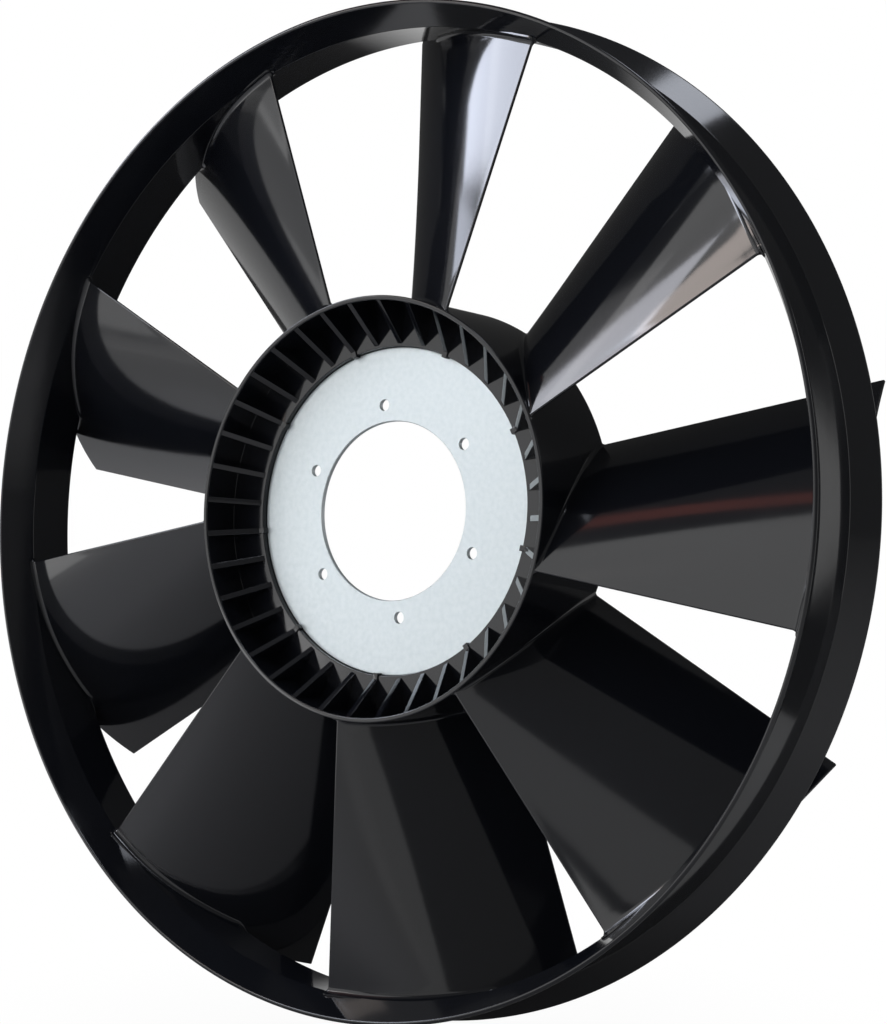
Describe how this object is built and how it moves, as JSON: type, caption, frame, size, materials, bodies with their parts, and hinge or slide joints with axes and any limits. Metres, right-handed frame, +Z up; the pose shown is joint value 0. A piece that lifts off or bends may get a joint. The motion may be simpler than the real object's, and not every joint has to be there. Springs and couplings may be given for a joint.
{
  "type": "axial fan impeller",
  "caption": "Shrouded axial fan impeller: one-piece moulded wheel with twisted blades between a ribbed drum hub and an outer ring, on a steel mounting disc with a centre bore and a bolt circle.",
  "frame": {"origin": "on the axis of rotation, in the front face of the mounting disc (centre of its bore and bolt circle)", "axes": "+Z up with the fan standing upright; Y is the axis of rotation: -Y faces the inlet side, where the lip and the ribbed well are, +Y the drive side"},
  "size_m": [0.75, 0.1134, 0.75],
  "materials": {
    "wheel_plastic": "black glass-filled nylon, satin to semi-gloss as moulded",
    "disc_steel": "flat sheet steel, pale zinc plate"
  },
  "bodies": {
    "root": {"fan_wheel": "wheel_plastic", "mounting_disc": "disc_steel"}
  },
  "joints": []
}
